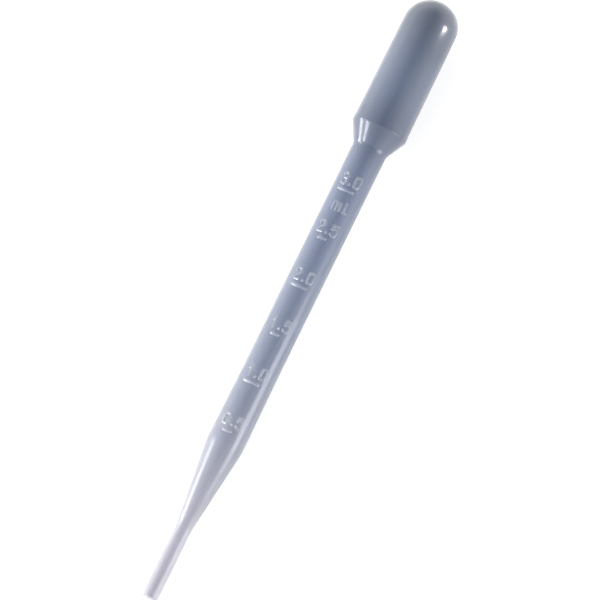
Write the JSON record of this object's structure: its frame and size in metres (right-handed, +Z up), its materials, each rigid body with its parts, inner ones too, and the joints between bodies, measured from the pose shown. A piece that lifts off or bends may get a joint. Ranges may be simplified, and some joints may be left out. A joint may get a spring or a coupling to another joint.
{
  "type": "dropper pipette",
  "caption": "One-piece blow-moulded transfer pipette lying on its side: round-crowned squeeze bulb, graduated stem and long drawn tip, hollow throughout.",
  "frame": {"origin": "the middle of the pipette's box, on the bench that it lies on", "axes": "+X towards the bulb, with the pipette's axis 1.66 degrees above it; +Z up, with the graduations on top"},
  "size_m": [0.1552, 0.0138, 0.0141],
  "materials": {
    "natural_ldpe": "translucent natural low-density polyethylene, blow moulded, soft satin gloss"
  },
  "bodies": {
    "root": {"pipette": "natural_ldpe"}
  },
  "joints": []
}
